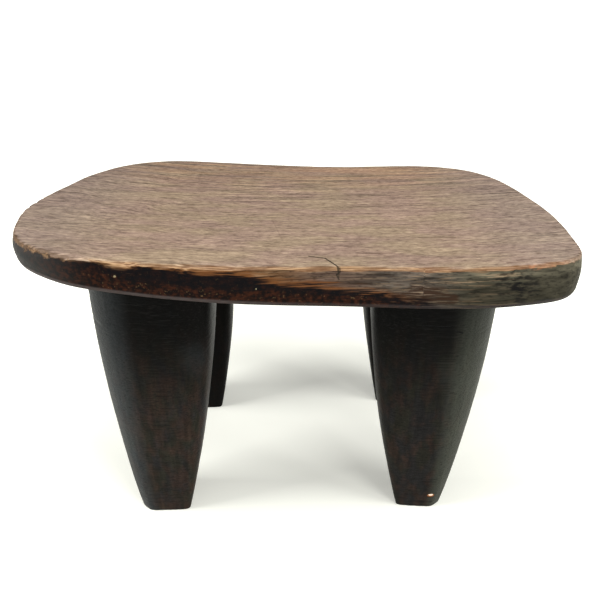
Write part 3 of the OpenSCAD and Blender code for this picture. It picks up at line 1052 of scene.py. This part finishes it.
# The last is the band of the painted highlight on the lower arris
LIP_HIGHLIGHT_BAND = [(-4, 0), (3.4, 1.2)]
LINE_WANDERS, LINE_FRAYS, SOOT_DEPTH = 7, 6, 6


def band(value, first, second):
    """1 where a value is past both of two stretches, and 0 where it is short of one of them."""
    return value.rise(*first) * value.rise(*second)


def paint_skin(recipe, grain, line):
    """The smoked skin of the edge, mottled and dotted, sooty below the line, with a painted grey sheen at
    the ends.
    """
    mottle = recipe.noise(grain.place, MOTTLE_SIZE, 5.0).rise(0.38, 0.66)
    skin = recipe.mix(mottle, MOTTLE_DARK, MOTTLE_RED)
    dots = recipe.noise(grain.place, OCHRE_SIZE, 3.0).rise(0.62, 0.76)
    skin = recipe.lay(dots * grain.x.past(*OCHRE_SHOWS), skin, OCHRE)
    skin = recipe.lay(grain.pores.rise(0.48, 0.66), skin, SUNK_SOOT)
    deeper = grain.x.past(*DEEP_FROM) * grain.x.past(*DEEP_TO) * SOOT_DEPTH
    soot = (line + deeper).rise(*SOOT_ABOVE) * grain.x.past(*SOOT_SHOWS)
    skin = recipe.mix(soot * (1.15 - grain.flecks * 0.7), skin, SOOT)
    # A painted sheen, grey towards both ends of the seat
    return recipe.lay(grain.off_middle.past(*END_SHEEN_SHOWS), skin, END_SHEEN_GREY)


def paint_edge(recipe, grain):
    """The colour of the edge from its lower to its upper arris."""
    wander = (recipe.noise(grain.place, WANDER_SIZE, 1.5) - 0.5) * LINE_WANDERS
    spread = 1 + grain.x.past(*LINE_SPREADS)
    frayed = uneven(grain, streaks=LINE_FRAYS, fine=LINE_FRAYS, lines=spread * LINE_WANDERS)
    line = fact(recipe, "above_worn") + wander + frayed
    edge = recipe.mix(line.rise(*BARE_ABOVE), paint_skin(recipe, grain, line), paint_bare(recipe, grain))
    fringe = band(line, *FRINGE) * grain.lines.rise(0.4, 0.56)
    edge = recipe.lay(fringe * grain.x.past(*FRINGE_FROM) * grain.x.past(*FRINGE_TO), edge, ORANGE)
    # A painted highlight along the lower arris, where it catches light from below
    lip_highlight = band(fact(recipe, "from_lip"), *LIP_HIGHLIGHT_BAND) * (0.5 + grain.flecks)
    return recipe.mix(lip_highlight * (0.85 - grain.x.past(*LIP_HIGHLIGHT_WEAKENS) * 0.5), edge, LIP_HIGHLIGHT)


print("the line wanders by", LINE_WANDERS / 2, "mm and frays by", LINE_FRAYS / 2, "mm either way")

# %% [markdown]
# ## The worn seat
# At the upper arris the two colours meet. Along the front the wood there is freshly rubbed and still
# golden, in thin layers that the rounding of the arris has cut through. Behind and at the ends the
# arris has no gold, only a thin brown rim.

# %% The seat's finish
GOLD = colour(182, 145, 107)
GOLD_BROWN = colour(104, 68, 39)
GOLD_SHARE, DULL_SHARE = 0.75, 0.45
RIM_BROWN = coat(88, 70, 54, 0.7)
FRESH_CHIP, GOLD_CHIP = coat(166, 102, 65, 0.45), (GOLD, 0.3)
CRACK_OLIVE = (SKIN_OLIVE, 0.8)
EDGE_CHIP = coat(168, 156, 122, 0.55)
SEAT_SHINE = 0.018
# Stretches in mm from the front to the middle, and along the seat
AT_FRONT = (-112, -135)
GOLD_STARTS, GOLD_DULLS, GOLD_ENDS, ROLLED_OVER = (-150, -105), (70, 130), (205, 185), (-165, -205)
PAST_GOLD_LEFT, PAST_GOLD_RIGHT = (-140, -165), (190, 205)
ROLLED_BY = 2.5
# Bands in mm from the upper arris, and how far their borders are ragged
TOP_BAND, GOLD_BAND, RIM_BAND = (-2.4, -1.4), [(-3.0, -1.8), (2.0, -0.4)], [(-3.4, -2.2), (2.4, 0.4)]
ARRIS_FRAYS = 7


def paint_seat(recipe, grain):
    """The top and the edge, with gold or a brown rim where they meet, and the crack and chips on them."""
    ragged = fact(recipe, "from_arris") + uneven(grain, fine=ARRIS_FRAYS)
    rolled_over = grain.x.past(*ROLLED_OVER) * ROLLED_BY
    on_top = (ragged - rolled_over).rise(*TOP_BAND)
    base = recipe.mix(on_top, paint_edge(recipe, grain), paint_top(recipe, grain))
    at_front = grain.y.past(*AT_FRONT)
    gold = recipe.mix(grain.lines.rise(0.44, 0.62), GOLD_BROWN, GOLD)
    gold = recipe.mix(grain.x.past(*GOLD_DULLS) * DULL_SHARE, gold, GOLD_BROWN)
    spread = recipe.noise(grain.place, 6 * MM, 4.0) + grain.x.past(*GOLD_STARTS)
    golden = band(ragged, *GOLD_BAND) * spread.rise(0.52, 0.62) * at_front * grain.x.past(*GOLD_ENDS)
    base = recipe.mix(golden * GOLD_SHARE, base, gold)
    past_gold = grain.x.past(*PAST_GOLD_LEFT) + grain.x.past(*PAST_GOLD_RIGHT)
    rim = band(ragged, *RIM_BAND) * (1 - at_front + past_gold).clamp()
    base = recipe.lay(rim, base, RIM_BROWN)
    broken = grain.flecks.rise(0.42, 0.52)
    for chips, layer in (FRESH_CHIPS, FRESH_CHIP), (GOLD_CHIPS, GOLD_CHIP):
        base = recipe.lay(near_paths(grain, *chips) * broken, base, layer)
    crack = near_paths(grain, *CRACK)
    base = recipe.lay(crack, base, CRACK_OLIVE)
    for chip in EDGE_CHIPS:
        base = recipe.lay(near_point(grain, *chip), base, EDGE_CHIP)
    roughness = 0.42 + grain.fine * 0.15 + on_top * 0.2
    return base, roughness, grain.fine + grain.pores * 0.5 - crack * 2


wooden("worn seat wood", [seat], SEAT_SHINE, paint_seat)
